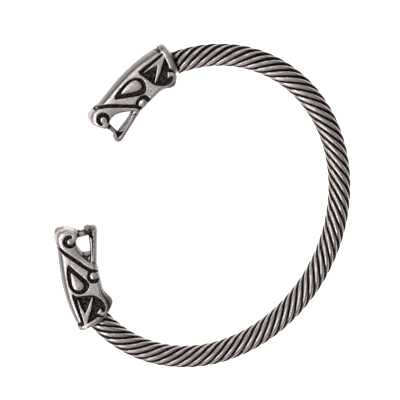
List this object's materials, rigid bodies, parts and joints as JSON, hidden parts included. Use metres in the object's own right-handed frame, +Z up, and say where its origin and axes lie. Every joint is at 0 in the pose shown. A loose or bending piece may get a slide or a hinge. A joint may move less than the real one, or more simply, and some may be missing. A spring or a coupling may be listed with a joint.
{
  "type": "penannular twisted-wire arm ring",
  "caption": "Open arm ring of twisted wire laid round a core rod, ending in two cast beast heads with sunk ornament and open jaws.",
  "frame": {"origin": "middle of the bounding box in X and Y, on the surface the ring lies on", "axes": "+Z up off the surface, +X along the oval's long axis, the opening between the heads faces -Y"},
  "size_m": [0.0802, 0.069, 0.0091],
  "materials": {
    "antiqued_head": "antiqued satin, bright on raised edges and near black in the sunk ornament",
    "antiqued_wire": "antiqued satin, dark between the wires",
    "dark_core": "blackened"
  },
  "bodies": {
    "root": {"left_head": "antiqued_head", "right_head": "antiqued_head", "core_rod": "dark_core", "wire_1": "antiqued_wire", "wire_2": "antiqued_wire", "wire_3": "antiqued_wire", "wire_4": "antiqued_wire", "wire_5": "antiqued_wire", "wire_6": "antiqued_wire", "wire_7": "antiqued_wire", "wire_8": "antiqued_wire", "wire_9": "antiqued_wire"}
  },
  "joints": []
}
